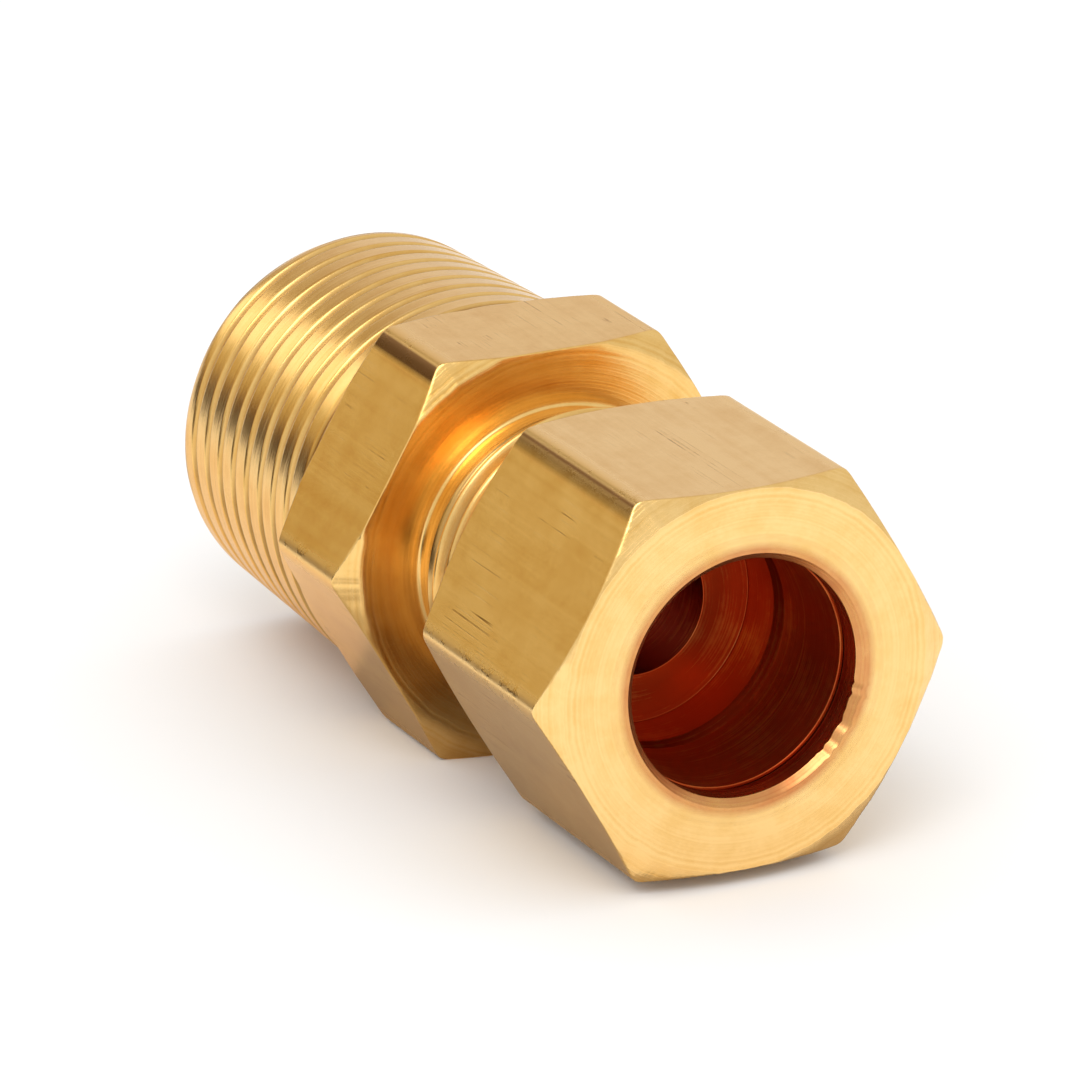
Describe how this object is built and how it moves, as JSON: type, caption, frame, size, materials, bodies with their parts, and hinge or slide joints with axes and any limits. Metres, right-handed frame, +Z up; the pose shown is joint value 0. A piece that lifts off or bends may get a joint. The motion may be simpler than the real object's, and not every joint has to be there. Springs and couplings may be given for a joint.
{
  "type": "tube compression fitting",
  "caption": "Brass male connector: a hexagon body with a taper pipe thread at one end, and a compression nut and sleeve that grip a tube at the other.",
  "frame": {"origin": "centre of the tube stop, at the bottom of the tube socket in the body, on the fitting's axis", "axes": "+X along the axis out of the tube end, +Z up with a flat of each hexagon down, +Y across"},
  "size_m": [0.0463, 0.0254, 0.0222],
  "materials": {
    "body_brass": "machined, bright, with fine turning and drawing lines",
    "nut_brass": "machined, bright, with fine turning and drawing lines",
    "sleeve_brass": "turned, satin"
  },
  "bodies": {
    "body": {"connector_body": "body_brass"},
    "sleeve": {"compression_sleeve": "sleeve_brass"},
    "nut": {"compression_nut": "nut_brass"}
  },
  "joints": [
    {"name": "sleeve_travel", "type": "slide", "parent": "body", "child": "sleeve", "axis": [1, 0, 0], "range_m": [-0.00064, 0.00636]},
    {"name": "nut_turn", "type": "hinge", "parent": "sleeve", "child": "nut", "pos_m": [0.005, 0, 0], "axis": [1, 0, 0], "range_deg": [-180, 1800]}
  ],
  "couplings": [
    {"joint": "sleeve_travel", "follows": "nut_turn", "m_per_rad": 0.00020213}
  ]
}
